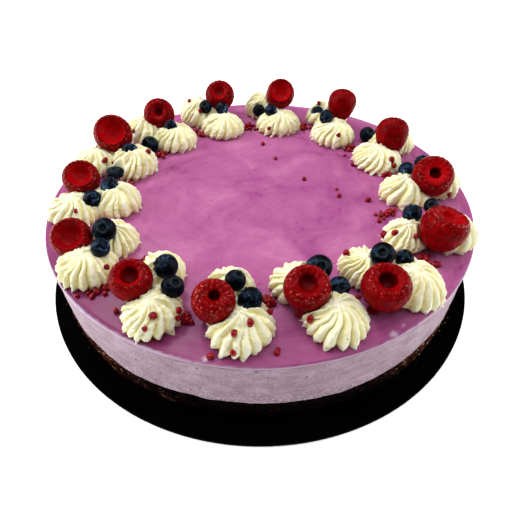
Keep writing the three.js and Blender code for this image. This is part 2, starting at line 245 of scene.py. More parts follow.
def lump_tree():
    """Geometry Nodes that put a lump on every vertex, for loose crumbs and bits of dried raspberry."""
    made = bpy.data.node_groups.new("lumps_on_seeds", "GeometryNodeTree")
    for name, kind, value in (("Geometry", "NodeSocketGeometry", None),
                              ("Material", "NodeSocketMaterial", None),
                              ("Unevenness", "NodeSocketFloat", 0.2), ("Slimmest", "NodeSocketFloat", 0.6),
                              ("Detail", "NodeSocketInt", 2), ("Seed", "NodeSocketInt", 1)):
        socket = made.interface.new_socket(name, in_out="INPUT", socket_type=kind)
        if value is not None:
            socket.default_value = value
    made.interface.new_socket("Geometry", in_out="OUTPUT", socket_type="NodeSocketGeometry")
    given = add_node(made, "NodeGroupInput").outputs
    ball = add_node(made, "GeometryNodeMeshIcoSphere", {"Radius": 1.0, "Subdivisions": given["Detail"]})
    bumps = add_node(made, "ShaderNodeTexNoise", {"Scale": 1.1, "Detail": 1.0})
    centred = add_node(made, "ShaderNodeVectorMath", {0: bumps.outputs["Color"], 1: (0.5, 0.5, 0.5)},
                       operation="SUBTRACT")
    offset = add_node(made, "ShaderNodeVectorMath", {0: centred.outputs[0], "Scale": given["Unevenness"]},
                      operation="SCALE")
    lump = add_node(made, "GeometryNodeSetPosition", {"Geometry": ball.outputs["Mesh"],
                                                      "Offset": offset.outputs[0]})
    size = add_node(made, "GeometryNodeInputNamedAttribute", {"Name": "size"}, data_type="FLOAT")
    slim = add_node(made, "ShaderNodeCombineXYZ",
                    {"X": given["Slimmest"], "Y": given["Slimmest"], "Z": given["Slimmest"]})
    # Each lump is as wide as its size says, and slimmer by chance along each axis, then turned any way.
    share = add_node(made, "FunctionNodeRandomValue",
                     {0: slim.outputs[0], 1: (1.0, 1.0, 1.0), "Seed": given["Seed"]},
                     data_type="FLOAT_VECTOR")
    scale = add_node(made, "ShaderNodeVectorMath", {0: share.outputs[0], "Scale": size.outputs["Attribute"]},
                     operation="SCALE")
    turn = add_node(made, "FunctionNodeRandomValue", {1: (6.28, 6.28, 6.28), "Seed": given["Seed"]},
                    data_type="FLOAT_VECTOR")
    lumps = add_node(made, "GeometryNodeInstanceOnPoints",
                     {"Points": given["Geometry"], "Instance": lump.outputs["Geometry"],
                      "Rotation": turn.outputs[0], "Scale": scale.outputs[0]})
    real = add_node(made, "GeometryNodeRealizeInstances", {"Geometry": lumps.outputs["Instances"]})
    smooth = add_node(made, "GeometryNodeSetShadeSmooth", {"Geometry": real.outputs["Geometry"]})
    done = add_node(made, "GeometryNodeSetMaterial", {"Geometry": smooth.outputs["Geometry"],
                                                      "Material": given["Material"]})
    add_node(made, "NodeGroupOutput", {"Geometry": done.outputs["Geometry"]})
    return made


LUMPS = lump_tree()


def grow_lumps(name, seeds, material, **settings):
    """A plain mesh with a lump on each seed [x, y, z, size], in mm; the settings are the tree's inputs."""
    seeds = np.asarray(seeds, float) * MM
    grown = bpy.data.meshes.new(name)
    grown.from_pydata(seeds[:, :3].tolist(), [], [])
    size = grown.attributes.new("size", "FLOAT", "POINT")
    size.data.foreach_set("value", seeds[:, 3])
    holder = bpy.data.objects.new(name, grown)
    bpy.context.scene.collection.objects.link(holder)
    modifier = holder.modifiers.new("lumps", "NODES")
    modifier.node_group = LUMPS
    inputs = [item for item in LUMPS.interface.items_tree if item.in_out == "INPUT"]
    sockets = {item.name: item.identifier for item in inputs}
    for key, value in {**settings, "Material": material}.items():
        modifier[sockets[key]] = value
    bpy.context.view_layer.update()
    evaluated = holder.evaluated_get(bpy.context.evaluated_depsgraph_get())
    plain = bpy.data.meshes.new_from_object(evaluated)
    bpy.data.objects.remove(holder)
    bpy.data.meshes.remove(grown)
    plain.name = name
    return plain


def loose_crumbs():
    """Seeds of the grains that cling to the wall, gather at its foot and lie on the board."""
    dice = np.random.default_rng(3)
    seeds = []
    for _ in range(CLINGING):
        angle, high = dice.uniform(0, 2 * math.pi), BASE_Z + 13.0 * dice.uniform(0.1, 1) ** 0.7
        wide = dice.uniform(0.35, 0.95) * (1 + 0.6 * abs(math.cos(angle)))
        reach = FOOT_R - 0.4 + 0.2 * wide
        seeds.append([reach * math.cos(angle), reach * math.sin(angle) + CAKE_BACK, high, wide])
    for _ in range(FALLEN):
        angle, wide = dice.uniform(0, 2 * math.pi), dice.uniform(0.25, 0.75)
        reach = min(FOOT_R + 0.3 + dice.exponential(1.1), FOOT_R + 4)
        high = BOARD_T + 0.5 * wide
        seeds.append([reach * math.cos(angle), reach * math.sin(angle) + CAKE_BACK, high, wide])
    # Those that would hang over the board's edge have dropped off it.
    return [seed for seed in seeds if math.hypot(seed[0], seed[1]) + 1.2 * seed[3] < BOARD_R - 0.3]


loose = grow_lumps("loose_biscuit_crumbs", loose_crumbs(), biscuit, Unevenness=0.9, Slimmest=0.55,
                   Detail=1, Seed=5)
add_piece(loose, None, "biscuit")

# ---------------------------------------------------------------- mousse
# Cheesecake mousse, poured on the base, set cold, and smoothed round with a palette knife when the ring is
# off. That leaves faint level streaks, a few pits, dark specks of the ube, and a wavy lower edge.

WALL_R = 126.7  # radius of the mousse at its foot
MOUSSE_Z, MOUSSE_TOP = 16.6, 45.9
TUCKED = [0.55, 0.2, 0.05]  # how far the lowest rings draw in, so that the edge is rounded


def wave(angle, phase):
    """A smooth unevenness round the cake, from -1 to 1."""
    return (0.5 * np.sin(3 * angle + phase) + 0.3 * np.sin(8 * angle + 2 * phase)
            + 0.2 * np.sin(17 * angle + 3 * phase))


def mousse_wall():
    """The wall's rings, from the wavy lower edge up to the purple top."""
    angles = around(640)
    shares = np.concatenate([[0, 0.012, 0.03], np.linspace(0.06, 1, 22)])
    # The lower edge wanders up and down in long waves, with short ones and small tatters on them.
    drip = np.array([2.6 * rough((90 * math.cos(a), 90 * math.sin(a), 0), 30)
                     + 0.9 * rough((90 * math.cos(a), 90 * math.sin(a), 9), 6)
                     + 0.4 * rough((90 * math.cos(a), 90 * math.sin(a), 18), 1.6) for a in angles])
    rings = [np.stack([(WALL_R - 3) * np.cos(angles), (WALL_R - 3) * np.sin(angles) + CAKE_BACK,
                       MOUSSE_Z - 0.2 + drip * 0.4], 1)]
    for share in shares:
        sway = (0.7 - 0.5 * share) * ((1 - share) * wave(angles, 0) + share * wave(angles, 1))
        height = MOUSSE_Z - 0.6 + drip * (1 - share) ** 3 + share * (MOUSSE_TOP - MOUSSE_Z + 0.6)
        tuck = TUCKED[len(rings) - 1] if len(rings) <= len(TUCKED) else 0.0
        streak = np.array([rough((60 * math.cos(a), 60 * math.sin(a), h), 2.2)
                           for a, h in zip(angles, height)])
        lumps = np.array([rough((125 * math.cos(a), 125 * math.sin(a), h), 9.0)
                          for a, h in zip(angles, height)])
        reach = WALL_R + 0.2 * share + sway - tuck + 0.1 * streak + 0.22 * lumps
        rings.append(np.stack([reach * np.cos(angles), reach * np.sin(angles) + CAKE_BACK, height], 1))
    return np.array(rings)


def with_specks(tree, place, ground, tint, spacing, spot, bare):
    """A ground colour with one round speck in each cell, spacing mm wide, but in a share of them, bare, none.

    The speck fades from its first to its second radius in spot, both over the cell's width.
    """
    cells = add_node(tree, "ShaderNodeTexVoronoi", {"Vector": place, "Scale": 1 / (spacing * MM),
                                                    "Randomness": 1.0})
    dots = add_node(tree, "ShaderNodeValToRGB", {"Fac": cells.outputs["Distance"]},
                    [[spot[0], "#ffffff"], [spot[1], "#000000"]])
    tone = add_node(tree, "ShaderNodeSeparateColor", {"Color": cells.outputs["Color"]})
    filled = add_node(tree, "ShaderNodeMath", {0: tone.outputs["Red"], 1: bare}, operation="GREATER_THAN")
    specks = add_node(tree, "ShaderNodeMath", {0: dots.outputs["Color"], 1: filled.outputs[0]},
                      operation="MULTIPLY")
    return add_node(tree, "ShaderNodeMix", {"Factor": specks.outputs[0], 6: ground, 7: linear(tint)},
                    data_type="RGBA").outputs[2]


# Set mousse: pale lilac and satin, a little light passing through, streaked by the knife, with dark specks
# and a mealy, whiter grain along its foot.
mousse, tree, place = start_material("set_lilac_mousse")
flat = add_node(tree, "ShaderNodeMapping", {"Vector": place, "Scale": (0.3, 0.3, 1.0)})
streaks = add_node(tree, "ShaderNodeTexNoise", {"Vector": flat.outputs[0], "Scale": 1 / (3.5 * MM),
                                                "Detail": 5.0, "Distortion": 0.6})
clouds = add_node(tree, "ShaderNodeTexNoise", {"Vector": place, "Scale": 1 / (9 * MM), "Detail": 6.0,
                                               "Roughness": 0.65})
mingled = add_node(tree, "ShaderNodeMath", {0: streaks.outputs["Fac"], 1: clouds.outputs["Fac"]},
                   operation="ADD")
blend = add_node(tree, "ShaderNodeMath", {0: mingled.outputs[0], 1: 0.5}, operation="MULTIPLY")
lilac = add_node(tree, "ShaderNodeValToRGB", {"Fac": blend.outputs[0]},
                 [[0.38, "#947684"], [0.5, "#a48696"], [0.62, "#b69cad"]])
specked = with_specks(tree, place, lilac.outputs["Color"], "#5d3b55", 6.5, (0.08, 0.13), 0.5)
pores = add_node(tree, "ShaderNodeTexNoise", {"Vector": place, "Scale": 1 / (0.9 * MM), "Detail": 3.0})
up_wall = add_node(tree, "ShaderNodeSeparateXYZ", {"Vector": place})
foot = add_node(tree, "ShaderNodeMapRange", {"Value": up_wall.outputs["Z"], "From Min": 17 * MM,
                                             "From Max": 26 * MM, "To Min": 0.8, "To Max": 0.22})
grains = add_node(tree, "ShaderNodeValToRGB", {"Fac": pores.outputs["Fac"]},
                  [[0.5, "#000000"], [0.6, "#ffffff"]])
grainy = add_node(tree, "ShaderNodeMath", {0: grains.outputs["Color"], 1: foot.outputs[0]},
                  operation="MULTIPLY")
mealy = add_node(tree, "ShaderNodeMix", {"Factor": grainy.outputs[0], 6: specked, 7: linear("#ddd0d4")},
                 data_type="RGBA")
relief = add_node(tree, "ShaderNodeMath", {0: pores.outputs["Fac"], 1: streaks.outputs["Fac"]},
                  operation="ADD")
knife = add_node(tree, "ShaderNodeBump", {"Height": relief.outputs[0], "Strength": 0.5,
                                          "Distance": 0.35 * MM})
end_material(tree, Base_Color=mealy.outputs[2], Normal=knife.outputs["Normal"], Roughness=0.5,
             Specular_IOR_Level=0.25, Subsurface_Weight=0.25, Subsurface_Radius=(1.0, 0.8, 0.9),
             Subsurface_Scale=2.5 * MM)

wall = ring_mesh("smoothed_mousse", mousse_wall(), [0, CAKE_BACK, MOUSSE_Z], [0, CAKE_BACK, MOUSSE_TOP])
add_piece(wall, mousse, "mousse", "mousse_layer")

# ---------------------------------------------------------------- servings
# Fourteen servings of cream and fruit round the rim, anticlockwise from the front left. A serving is two
# dollops of cream, a raspberry pressed into them with a lean of its own, and one or two blueberries.

# The inner and outer dollop are [reach from the cake's middle, bearing in degrees, radius], and may go on
# with a height. The raspberry and the blueberries are [reach, bearing, height of the middle over the top,
# width]. The raspberry may go on with its height over its width, and a blueberry with its lean and then its
# height over its width. A lean is [degrees, bearing]. Bits of dried raspberry are [0 on the inner dollop or
# 1 on the outer, bearing, share of the dollop's height].

SERVINGS = [
    {"inner": [87.5, -99.8, 12.6, 14], "outer": [109, -95, 16], "raspberry": [104, -102, 11.6, 20, 0.95],
     "lean": [18, -60], "blueberries": [[91, -97.5, 13.6, 10], [100, -93, 11.3, 11.6]],
     "bits": [[1, -45, 0.93], [1, -106, 0.85], [1, -101, 0.4], [1, 22, 0.55]]},
    {"inner": [85.5, -78.3, 14], "outer": [109.5, -72.6, 16], "raspberry": [97, -78, 11.4, 22],
     "lean": [16, -90], "blueberries": [[83.5, -70.5, 9.8, 12.6], [96.6, -68, 7.8, 10, 46, -80]],
     "bits": [[1, -161, 0.65], [1, 40, 0.5]]},
    {"inner": [89.5, -55.4, 13.5], "outer": [111, -49.5, 16.5], "raspberry": [110, -59.6, 11.4, 23],
     "lean": [12, -110], "blueberries": [[95.5, -52.5, 15, 11.8, 40, -120], [102, -47, 11, 9.2]],
     "bits": [[0, 150, 0.75], [0, -92, 0.7], [1, 40, 0.6]]},
    {"inner": [92.4, -32.2, 13], "outer": [112, -24, 16.5], "raspberry": [109, -31, 12.6, 24.5],
     "lean": [14, 20], "blueberries": [[92, -25.5, 11, 10.8], [100.5, -21, 13.5, 8.4]],
     "bits": [[0, -152, 0.78], [0, -174, 0.45], [0, -72, 0.82]]},
    {"inner": [89, -5, 15.5], "outer": [110.5, 1.5, 16], "raspberry": [103.5, -3.5, 12.3, 24.5],
     "lean": [38, -100], "blueberries": [[96, 8, 5.3, 10.6], [111, 12.5, 4.55, 9.6]],
     "bits": [[1, -75, 0.3]]},
    {"inner": [86, 21.5, 17], "outer": [108.5, 29, 15.7], "raspberry": [100, 25, 14.2, 22, 1.08],
     "lean": [14, 80], "blueberries": [[100, 37.5, 5.5, 11]],
     "bits": [[0, -58, 0.72], [0, -58, 0.47], [1, 140, 0.7], [1, 190, 0.8]]},
    {"inner": [86, 50, 16.5], "outer": [109, 60, 16, 14.5], "raspberry": [104, 53, 18, 21, 1.05],
     "lean": [12, 40], "blueberries": [[103, 63, 8, 9.8], [87, 54.7, 14.5, 10.2]],
     "bits": [[0, -82, 0.72], [1, 150, 0.9]]},
    {"inner": [86, 79, 17], "outer": [110, 87, 15, 16], "raspberry": [106, 80, 17, 22, 1], "lean": [50, -90],
     "blueberries": [[97, 89, 8, 9.8], [87, 83, 13, 9.2]], "bits": [[0, -120, 0.5]]},
    {"inner": [84.4, 108, 17], "outer": [110, 114, 16.5, 15.5], "raspberry": [110, 105, 15.4, 23],
     "lean": [38, -90], "blueberries": [[99.5, 113, 14, 9.9], [93, 106.5, 13.5, 9.8]],
     "bits": [[1, 170, 0.9], [1, -80, 0.75]]},
    {"inner": [86, 134, 17], "outer": [110, 139, 16, 14.5], "raspberry": [107, 132.3, 13.5, 23, 1],
     "lean": [50, -80], "blueberries": [[89.4, 134, 12, 9.4], [90.5, 146.6, 5.8, 11.6]],
     "bits": [[1, -120, 0.7]]},
    {"inner": [87, 161.5, 16.5, 14.5], "outer": [112, 164, 16, 13.5], "raspberry": [108, 155, 15, 26, 0.95],
     "lean": [46, -75], "blueberries": [[90, 160, 12, 10], [93, 171.5, 5.8, 11.6, 4, 0, 0.55]],
     "bits": [[1, -45, 0.75], [1, -26, 0.5], [0, 10, 0.8]]},
    {"inner": [87, 189, 16, 14], "outer": [110.3, 191.6, 16.3], "raspberry": [106.5, 182, 12, 22.3],
     "lean": [34, -70], "blueberries": [[89, 187, 12, 11.2], [98.5, 192, 10, 10.4]],
     "bits": [[1, -60, 0.78]]},
    {"inner": [92.4, 212.2, 13.5], "outer": [112, 218.4, 16.3], "raspberry": [112, 210, 10.2, 21.5, 0.78],
     "lean": [34, -80], "blueberries": [[96.6, 214, 14.5, 12.4], [103.5, 219.7, 13, 10]],
     "bits": [[1, -24, 0.62]]},
    {"inner": [89, 236.5, 12.5], "outer": [111.6, 243.3, 15.3], "raspberry": [107, 236, 12, 20.5],
     "lean": [18, -75], "blueberries": [[90.6, 240, 11.6, 12.2], [100, 246, 11, 11]],
     "bits": [[1, -69, 0.85], [1, -91, 0.6], [1, -11, 0.55], [1, -24, 0.45]]},
]
CAKE_TOP = 47.9  # height of the purple top
RASPBERRY_TALL = 0.84  # usual height over width
BLUEBERRY_TALL = 0.9


def at(reach, bearing, height=0.0):
    """The point on the cake at a reach and a bearing, so high over its top."""
    turn = math.radians(bearing)
    return np.array([reach * math.cos(turn), reach * math.sin(turn) + CAKE_BACK, CAKE_TOP + height])


def standing(tallness, tilt):
    """Height over width of a berry that leans."""
    return math.hypot(tallness * math.cos(math.radians(tilt)), math.sin(math.radians(tilt)))


# Each berry is [x, y, z, width, height over width as it lies].
RASPBERRIES = [[*at(*one["raspberry"][:3]), one["raspberry"][3],
                standing((one["raspberry"] + [RASPBERRY_TALL])[4], one["lean"][0])] for one in SERVINGS]
LEANING = [berry[4:] for one in SERVINGS for berry in one["blueberries"]]
BLUEBERRIES = [[*at(*berry[:3]), berry[3], (berry[6:] + [BLUEBERRY_TALL])[0]]
               for one in SERVINGS for berry in one["blueberries"]]


def juice(points, fade):
    """How red a surface is with raspberry juice, from 0 to 1: strongest under and beside a raspberry."""
    red = np.zeros(len(points))
    for x, y, z, width, tallness in RASPBERRIES:
        apart = (points - [x, y, z]) / [1, 1, tallness]
        away = np.linalg.norm(apart, axis=1) - 0.5 * width
        red = np.maximum(red, np.exp(-np.maximum(away, 0) / fade))
    return red


def mark(mesh, name, values):
    """Keeps one number a vertex on a mesh, for its material."""
    kept = mesh.attributes.new(name, "FLOAT", "POINT")
    kept.data.foreach_set("value", np.asarray(values, float))


def points_of(mesh):
    """A mesh's vertices in millimetres."""
    flat_list = np.zeros(len(mesh.vertices) * 3)
    mesh.vertices.foreach_get("co", flat_list)
    return flat_list.reshape(-1, 3) / MM


# ---------------------------------------------------------------- purple top
# Ube cream, let down until it flows, poured over the set mousse and drawn round with a palette knife: a thin
# satin skin with smeared, marbled tones, low ripples, and a paler lip of mousse left along parts of the rim.

CAKE_R = 127.9  # radius at the rim
SKIN_Z = 46.0  # underside of the poured skin
NEAR_RIM = 8  # only so near the rim can the mousse show


def bared(angle):
    """How much of the mousse shows along the rim, from 0 to 1: most at the front left, some at the right."""
    patch = 0.5 + 0.5 * rough((80 * math.cos(angle), 80 * math.sin(angle), 40), 20)
    left = math.exp(-((math.degrees(angle) - 228) / 24) ** 2)
    right = math.exp(-((math.degrees(angle) - 312) / 16) ** 2)
    return min(1.0, 0.75 * left + 0.8 * right * patch + 0.15 * patch)


def poured_top():
    """The top's rings: out along its underside, round its edge, and in over the rippled surface."""
    angles = around(480)
    edge = [[CAKE_R - 1.2, SKIN_Z - 0.15], [CAKE_R - 0.5, SKIN_Z + 0.5], [CAKE_R - 0.45, SKIN_Z + 1.0],
            [CAKE_R - 0.75, CAKE_TOP - 0.35], [CAKE_R - 1.3, CAKE_TOP - 0.05]]
    reaches = np.concatenate([np.arange(CAKE_R - 1.7, 124, -0.4), np.arange(124, 100, -0.8),
                              np.arange(100, 4, -1.7)])
    rings = turned(edge + [[reach, CAKE_TOP] for reach in reaches], angles, (0, CAKE_BACK))
    sway = 1 + 0.3 * wave(angles, 1) / CAKE_R
    rings[:, :, 0] *= sway
    rings[:, :, 1] = (rings[:, :, 1] - CAKE_BACK) * sway + CAKE_BACK
    for row in range(4, len(rings)):
        for step in range(len(angles)):
            x, y, _ = rings[row, step]
            reach = math.hypot(x, y - CAKE_BACK)
            swirl = (70 * x / reach, 70 * (y - CAKE_BACK) / reach, 2.2 * reach)
            ripple = 0.11 * rough(swirl, 11) + 0.1 * rough((x, y, 3), 17) + 0.05 * rough((x, y, 0), 5)
            bare = bared(angles[step])
            lip = 0.2 * bare * math.exp(-((reach - CAKE_R + 1.2) / 0.5) ** 2)
            trough = 0.4 * bare * math.exp(-((reach - CAKE_R + 2.2) / 0.5) ** 2)
            rings[row, step, 2] += ripple + lip - trough
    return rings


# Ube cream: mauve to magenta, satin. Knife streaks follow the rim near the edge and cloud towards the middle.
# Its marks are painted shade towards the front and the front left, raspberry juice, the mousse's lip and a
# painted shade line under the lip.
ube, tree, place = start_material("ube_cream_glaze")
centred = add_node(tree, "ShaderNodeVectorMath", {0: place, 1: (0.0, CAKE_BACK * MM, CAKE_TOP * MM)},
                   operation="SUBTRACT")
reach = add_node(tree, "ShaderNodeVectorMath", {0: centred.outputs[0]}, operation="LENGTH")
outward = add_node(tree, "ShaderNodeVectorMath", {0: centred.outputs[0]}, operation="NORMALIZE")
arc = add_node(tree, "ShaderNodeVectorMath", {0: outward.outputs[0], "Scale": 30 * MM}, operation="SCALE")
out = add_node(tree, "ShaderNodeCombineXYZ", {"Z": reach.outputs["Value"]})
drawn = add_node(tree, "ShaderNodeVectorMath", {0: arc.outputs[0], 1: out.outputs[0]}, operation="ADD")
sweep = add_node(tree, "ShaderNodeTexNoise", {"Vector": drawn.outputs[0], "Scale": 1 / (7 * MM),
                                              "Detail": 6.0, "Roughness": 0.6, "Distortion": 1.2})
marble = add_node(tree, "ShaderNodeTexNoise", {"Vector": place, "Scale": 1 / (30 * MM), "Detail": 5.0,
                                               "Roughness": 0.55, "Distortion": 0.7})
near_rim = add_node(tree, "ShaderNodeMapRange", {"Value": reach.outputs["Value"], "From Min": 60 * MM,
                                                 "From Max": 115 * MM, "To Min": 0.25, "To Max": 0.75})
tones = add_node(tree, "ShaderNodeMix", {"Factor": near_rim.outputs[0], 2: marble.outputs["Fac"],
                                         3: sweep.outputs["Fac"]})
mauve = add_node(tree, "ShaderNodeValToRGB", {"Fac": tones.outputs[0]},
                 [[0.32, "#933a78"], [0.42, "#a8538c"], [0.55, "#b56397"], [0.7, "#c47ba9"]])
# Painted shade: the top is painted a darker magenta towards the front and at the front left.
painted_front_shade = add_node(tree, "ShaderNodeAttribute", attribute_name="painted_front_shade")
front_shaded = add_node(tree, "ShaderNodeMix", {"Factor": painted_front_shade.outputs["Fac"], 6: mauve.outputs["Color"],
                                          7: linear("#80285e")}, data_type="RGBA")
tint = with_specks(tree, place, front_shaded.outputs[2], "#6a2350", 5.5, (0.06, 0.11), 0.6)
# Juice and lip are the top's own colours; the third, a dark line under the lip, is painted shade.
for name, colour in (("juice", "#8c1d44"), ("lip", "#cdb2c8"), ("under_lip_shade", "#6f3a66")):
    share = add_node(tree, "ShaderNodeAttribute", attribute_name=name)
    tint = add_node(tree, "ShaderNodeMix", {"Factor": share.outputs["Fac"], 6: tint, 7: linear(colour)},
                    data_type="RGBA").outputs[2]
ripples = add_node(tree, "ShaderNodeMath", {0: sweep.outputs["Fac"], 1: 0.7}, operation="MULTIPLY")
smear = add_node(tree, "ShaderNodeMath", {0: ripples.outputs[0], 1: marble.outputs["Fac"]}, operation="ADD")
satin = add_node(tree, "ShaderNodeBump", {"Height": smear.outputs[0], "Strength": 0.35,
                                          "Distance": 0.5 * MM})
end_material(tree, Base_Color=tint, Normal=satin.outputs["Normal"], Roughness=0.34,
             Specular_IOR_Level=0.22, Subsurface_Weight=0.12, Subsurface_Radius=(1.0, 0.5, 0.8),
             Subsurface_Scale=2.0 * MM)

top = ring_mesh("poured_ube_top", poured_top(), [0, CAKE_BACK, SKIN_Z - 0.15], [0, CAKE_BACK, CAKE_TOP])
spots = points_of(top)
mark(top, "juice", np.clip(1.3 * juice(spots, 2.2) - 0.15, 0, 0.85))
spot_reach = np.hypot(spots[:, 0], spots[:, 1] - CAKE_BACK)
bearings = np.arctan2(spots[:, 1] - CAKE_BACK, spots[:, 0]) % (2 * math.pi)
shown = np.array([bared(angle) if r > CAKE_R - NEAR_RIM else 0.0 for angle, r in zip(bearings, spot_reach)])
ragged = np.array([rough((x, y, 0), 2.2) if r > CAKE_R - NEAR_RIM else 0.0
                   for (x, y, _), r in zip(spots, spot_reach)])
band = np.clip((spot_reach - CAKE_R + 0.8 + 1.2 * shown + 0.6 * ragged) / 0.4, 0, 1)
band *= np.clip(2.5 * shown, 0, 1)
# Painted shade: a dark line along the rim just inside the paler lip of mousse.
painted_lip_shade = np.exp(-((spot_reach - CAKE_R + 1.3 + 0.2 * ragged) / 0.4) ** 2)
mark(top, "under_lip_shade", painted_lip_shade * np.clip(2.4 * shown - 0.5, 0, 0.8))
# Three blobs of mousse stick out over the front rim, at these places and of these sizes.
blobs = [np.exp(-(np.linalg.norm(spots - at(*where), axis=1) / size) ** 4)
         for where, size in (([125.5, -62.4], 1.7), ([124, -59], 0.7), ([125.3, -101.2], 1.4))]
mark(top, "lip", np.max([band, 0.85 * (spots[:, 2] < CAKE_TOP - 0.7), *blobs], axis=0))
# Painted shade, darker towards the front near the rim and in a patch at the front left.
front = np.clip(-np.sin(bearings + 0.5) * 1.8 - 0.3, 0, 1)
left = np.exp(-((np.degrees(bearings) - 232) / 17) ** 2)
mark(top, "painted_front_shade", np.clip(0.6 * front * np.clip((spot_reach - 98) / 24, 0, 1)
                          + left * np.clip((spot_reach - 104) / 10, 0, 1), 0, 1))
add_piece(top, ube, "ube", "ube_top")

# ---------------------------------------------------------------- piped cream
# Whipped cream, piped in two dollops a serving with a many-pointed star nozzle: uneven pleats run with a
# slight twist from a ragged peak to pointed teeth at the foot. The fruit is pressed in while it is soft.

DOLLOP_H = 12.6  # usual height of a dollop
PER_PLEAT = 10  # points round one pleat
BANK_RISE, BANK_REACH = 3.5, 5  # slope of the cream's bank round a berry, and how far it is cut
# Rows of [radius over the dollop's radius, height over its height], from the foot to the peak.
OUTLINE = [[0.86, 0.0], [0.94, 0.08], [1.0, 0.2], [0.99, 0.34], [0.91, 0.54], [0.76, 0.73], [0.56, 0.87],
           [0.34, 0.95], [0.15, 0.99], [0.03, 1.0]]


def smooth_line(points, count):
    """A curve through points, sampled evenly along its length."""
    points = np.asarray(points, float)
    ends = np.vstack([2 * points[0] - points[1], points, 2 * points[-1] - points[-2]])
    dense = []
    for a, b, c, d in zip(ends, ends[1:], ends[2:], ends[3:]):
        for t in np.arange(0, 1, 0.05):
            dense.append(0.5 * (2 * b + (c - a) * t + (2 * a - 5 * b + 4 * c - d) * t ** 2
                                + (3 * b - a - 3 * c + d) * t ** 3))
    dense = np.vstack([dense, points[-1]])
    along = np.concatenate([[0], np.cumsum(np.linalg.norm(np.diff(dense, axis=0), axis=1))])
    where = np.linspace(0, along[-1], count)
    return np.stack([np.interp(where, along, dense[:, axis]) for axis in (0, 1)], 1)


def dollop(place_of, radius, tall, dice):
    """Rings of one piped dollop, its end points, and how far each point of the rings lies out on a pleat."""
    pleats = int(dice.integers(15, 20))
    widths = dice.uniform(0.55, 1.45, pleats)
    edges = np.concatenate([[0], np.cumsum(widths)]) * 2 * math.pi / widths.sum()
    steps = np.arange(pleats * PER_PLEAT)
    angles = np.interp(steps / PER_PLEAT, np.arange(pleats + 1), edges)
    which, turn = steps // PER_PLEAT, (steps % PER_PLEAT) / PER_PLEAT
    # The crest is 1 along the ridge of a pleat and 0 in the groove, and each pleat has its own sharpness.
    round_to = dice.uniform(1.1, 2.6, pleats)[which]
    crest = 1 - np.abs(2 * turn ** dice.uniform(0.7, 1.2, pleats)[which] - 1) ** round_to
    start, swing = dice.uniform(0, 2 * math.pi), dice.uniform(0.2, 0.6)
    strength = (dice.uniform(0.6, 1.35, pleats) * np.clip(widths, 0.7, 1.2))[which] * dice.uniform(0.7, 1.15)
    tooth = dice.uniform(0.02, 0.26, pleats)[which]
    tip = dice.uniform(-1.0, 1.0, pleats)[which]
    leaning = dice.uniform(-0.7, 0.7, 2)
    squash = 1 + 0.04 * np.sin(2 * angles + dice.uniform(0, 6))
    rings, outer = [], []
    for share, high in smooth_line(OUTLINE, 46):
        fold = np.array([rough((9 * k, 13 * start, 14 * high), 4.0) for k in range(pleats)])[which]
        depth = (0.13 + 0.09 * high) * strength * (1 + 0.6 * fold) * np.clip(2.6 * share - 0.25, 0.05, 1)
        foot = np.clip(1 - high / 0.16, 0, 1) ** 1.5
        ragged = np.array([rough((16 * math.cos(a), 16 * math.sin(a), 12 * high + 3 * start), 1.1)
                           for a in angles])
        reach = radius * share * squash * (1 - depth * (1 - crest) + foot * tooth * crest ** 3
                                           + 0.045 * ragged * (0.3 + crest))
        twisted = angles + start + swing * high + 0.7 * max(0, high - 0.7) + 0.06 * math.sin(5 * high + start)
        dip = np.where(share < 0.8, 1.1 * (1 - crest) * strength * max(0, share - 0.12), 0.0)
        spike = 0.12 * tall * tip * crest * np.clip((high - 0.65) / 0.2, 0, 1) * min(1, 2.5 * share)
        bumpy = np.array([rough((r * math.cos(a), r * math.sin(a), 7 * start), 1.7)
                          for r, a in zip(reach, angles)])
        height = tall * high - dip * min(1, 3 * high) + 0.9 * bumpy * high ** 3 + spike
        rings.append(np.stack([reach * np.cos(twisted) + leaning[0] * high ** 2 + place_of[0],
                               reach * np.sin(twisted) + leaning[1] * high ** 2 + place_of[1],
                               height + place_of[2]], 1))
        outer.append(1 - (1 - crest) * np.clip((share - 0.1) / 0.4, 0, 1))
    peak = [place_of[0] + leaning[0], place_of[1] + leaning[1], place_of[2] + tall * 1.02]
    return np.array(rings), place_of, peak, np.array(outer)


def press_in(points, floor):
    """Lowers the cream to the underside of each berry that lies on it, with a bank round the berry."""
    for x, y, z, width, tallness in RASPBERRIES + BLUEBERRIES:
        wide, tall = 0.5 * width + 0.1, 0.5 * width * tallness + 0.1
        away = np.hypot(points[:, 0] - x, points[:, 1] - y)
        under = z - tall * np.sqrt(np.clip(1 - (away / wide) ** 2, 0, 1))
        bank = np.where(away < wide, under, z + BANK_RISE * (away - wide))
        reached = away < wide + BANK_REACH
        points[:, 2] = np.where(reached, np.maximum(np.minimum(points[:, 2], bank), floor), points[:, 2])
    return points


# Whipped cream: warm ivory, satin, light passing a little way in, with fine bubbles, a few dark flecks and a
# pink blush by the fruit. Painted light makes it almost white on the crests, and painted shade faintly
# yellow-green in the grooves.
cream, tree, place = start_material("whipped_cream")
clouds = add_node(tree, "ShaderNodeTexNoise", {"Vector": place, "Scale": 1 / (5 * MM), "Detail": 3.0})
